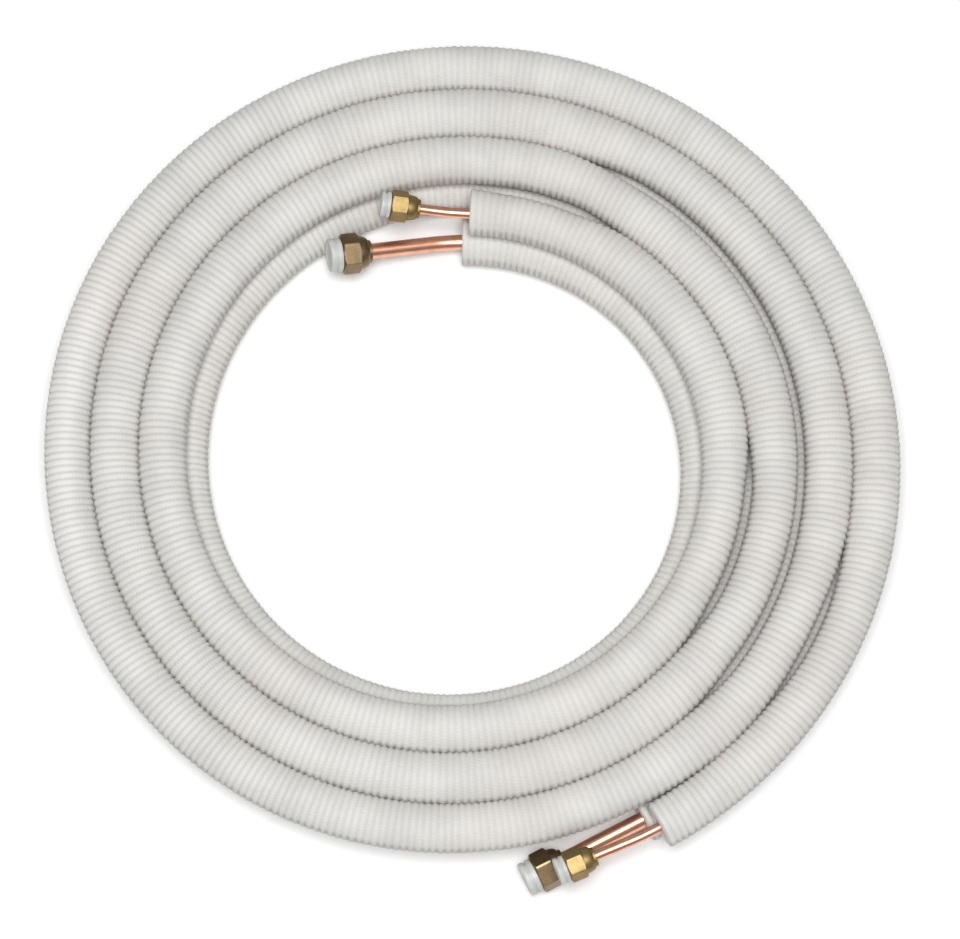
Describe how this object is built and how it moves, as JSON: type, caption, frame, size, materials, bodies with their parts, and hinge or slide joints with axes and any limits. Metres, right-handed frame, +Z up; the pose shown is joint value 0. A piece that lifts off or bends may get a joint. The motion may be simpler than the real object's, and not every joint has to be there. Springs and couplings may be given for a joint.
{
  "type": "mini split line set",
  "caption": "Flat coil of two foam-insulated copper refrigerant lines, thin on thick, with bare flared ends, brass flare nuts and white plastic caps.",
  "frame": {"origin": "on the floor, under the middle of the whole set's bounding box", "axes": "+Z up, along the coil's axis; +Y is away from the picture's camera, +X to its right"},
  "size_m": [0.5134, 0.5218, 0.0559],
  "materials": {
    "foam": "white closed-cell polyethylene foam with a finely ribbed skin",
    "copper": "bright soft-drawn copper",
    "suction_brass": "dull forged brass with turned edges",
    "liquid_brass": "yellow forged brass with turned edges",
    "cap_plastic": "milky white moulded polyethylene"
  },
  "bodies": {
    "coil": {"suction_sleeve": "foam", "liquid_sleeve": "foam", "suction_pipe": "copper", "liquid_pipe": "copper"},
    "suction_outer_nut": {"suction_nut_outer": "suction_brass", "suction_cap_outer": "cap_plastic"},
    "suction_inner_nut": {"suction_nut_inner": "suction_brass", "suction_cap_inner": "cap_plastic"},
    "liquid_outer_nut": {"liquid_nut_outer": "liquid_brass", "liquid_cap_outer": "cap_plastic"},
    "liquid_inner_nut": {"liquid_nut_inner": "liquid_brass", "liquid_cap_inner": "cap_plastic"}
  },
  "joints": [
    {"name": "suction_outer_nut_spin", "type": "hinge", "parent": "coil", "child": "suction_outer_nut", "pos_m": [0.04277, -0.24614, 0.01406], "axis": [-0.8895, -0.457, 0], "continuous": true},
    {"name": "suction_inner_nut_spin", "type": "hinge", "parent": "coil", "child": "suction_inner_nut", "pos_m": [-0.07532, 0.13166, 0.02571], "axis": [-0.9655, -0.1774, 0.1908], "continuous": true},
    {"name": "liquid_outer_nut_spin", "type": "hinge", "parent": "coil", "child": "liquid_outer_nut", "pos_m": [0.06, -0.24621, 0.04012], "axis": [-0.9231, -0.3845, 0], "continuous": true},
    {"name": "liquid_inner_nut_spin", "type": "hinge", "parent": "coil", "child": "liquid_inner_nut", "pos_m": [-0.04473, 0.15534, 0.04608], "axis": [-0.9844, 0.0803, 0.1564], "continuous": true}
  ]
}
